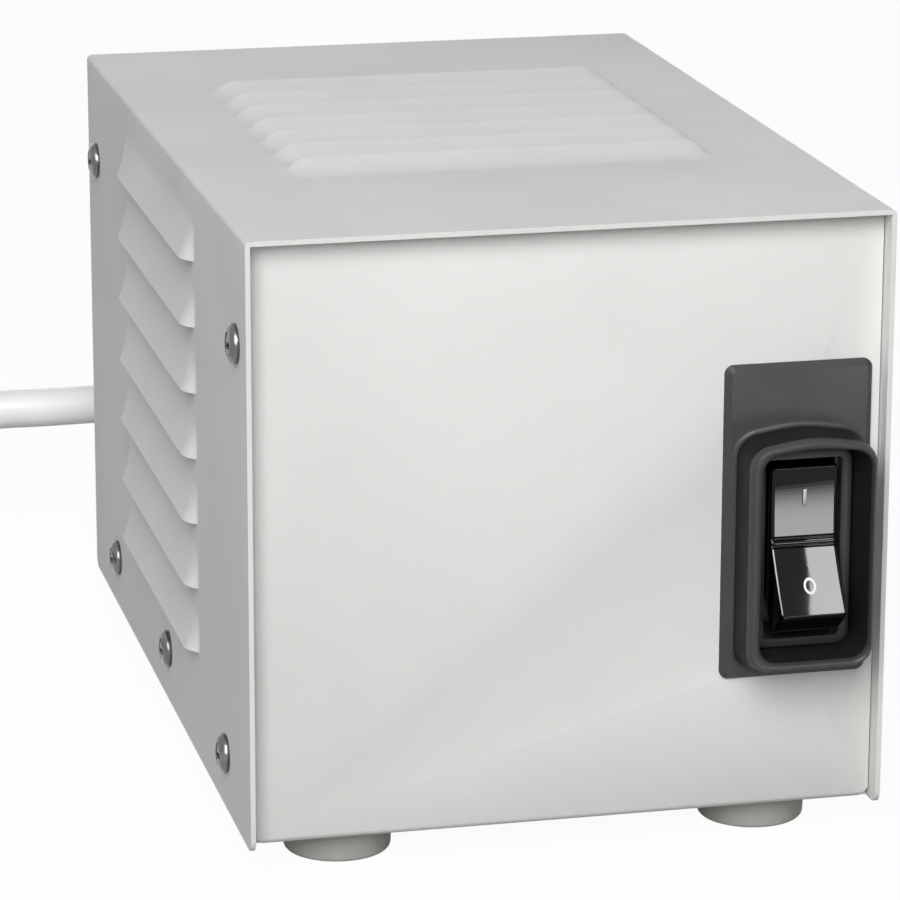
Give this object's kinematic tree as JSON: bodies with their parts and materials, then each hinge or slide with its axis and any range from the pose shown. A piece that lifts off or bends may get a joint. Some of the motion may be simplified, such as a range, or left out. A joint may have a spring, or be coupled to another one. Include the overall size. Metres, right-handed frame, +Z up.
{
  "type": "isolation transformer",
  "caption": "Mains isolation transformer in a louvred sheet-steel case on rubber feet, with a guarded rocker switch in front, an outlet and a cord behind.",
  "frame": {"origin": "on the floor, half way between the rocker's outer tip and the end of the strain relief, and below the middle of the case's width", "axes": "+Z up, +Y from the switch panel to the outlet panel, +X to the right of someone who faces the switch"},
  "size_m": [0.349, 0.3026, 0.1556],
  "materials": {
    "case_coat": "fine-textured powder coat, satin",
    "zinc_steel": "bright zinc plate",
    "bracket_steel": "galvanised sheet",
    "foot_rubber": "moulded, light grey, matt",
    "guard_plastic": "moulded, fine satin",
    "rocker_plastic": "moulded, glossy, printed I and O",
    "frame_plastic": "moulded, satin",
    "outlet_plastic": "moulded, smooth",
    "terminal_brass": "plain",
    "cord_jacket": "extruded PVC, satin",
    "plug_metal": "nickel plate",
    "core_steel": "varnished lamination stack",
    "bobbin_nylon": "moulded",
    "winding_copper": "enamelled copper wire",
    "wrap_tape": "polyester tape",
    "lead_black": "PVC insulation",
    "lead_white": "PVC insulation",
    "lead_green": "PVC insulation"
  },
  "bodies": {
    "base": {"cover": "case_coat", "chassis": "case_coat", "cover_screws": "zinc_steel", "cover_nuts": "zinc_steel", "feet": "foot_rubber", "foot_screws": "zinc_steel", "foot_nuts": "zinc_steel", "switch_guard": "guard_plastic", "rocker_frame": "frame_plastic", "rocker_pin": "zinc_steel", "breaker_body": "frame_plastic", "breaker_terminals": "terminal_brass", "breaker_screws": "zinc_steel", "receptacle": "outlet_plastic", "receptacle_strap": "bracket_steel", "receptacle_screws": "zinc_steel", "receptacle_terminals": "terminal_brass", "strain_relief": "frame_plastic", "power_cord": "cord_jacket", "cord_coil": "cord_jacket", "cord_tail": "cord_jacket", "plug_body": "cord_jacket", "plug_pins": "plug_metal", "core": "core_steel", "bobbin": "bobbin_nylon", "primary_winding": "winding_copper", "secondary_winding": "winding_copper", "winding_wrap": "wrap_tape", "core_brackets": "bracket_steel", "core_bolts": "zinc_steel", "core_nuts": "zinc_steel", "core_washers": "zinc_steel", "bracket_screws": "zinc_steel", "bracket_nuts": "zinc_steel", "ground_stud": "zinc_steel", "ground_lugs": "terminal_brass", "ground_nut": "zinc_steel", "line_leads": "lead_black", "neutral_leads": "lead_white", "ground_leads": "lead_green"},
    "rocker": {"rocker": "rocker_plastic"}
  },
  "joints": [
    {"name": "rocker_tip", "type": "hinge", "parent": "base", "child": "rocker", "pos_m": [0.0546, -0.11029, 0.0734], "axis": [1, 0, 0], "range_deg": [0, 34]}
  ]
}
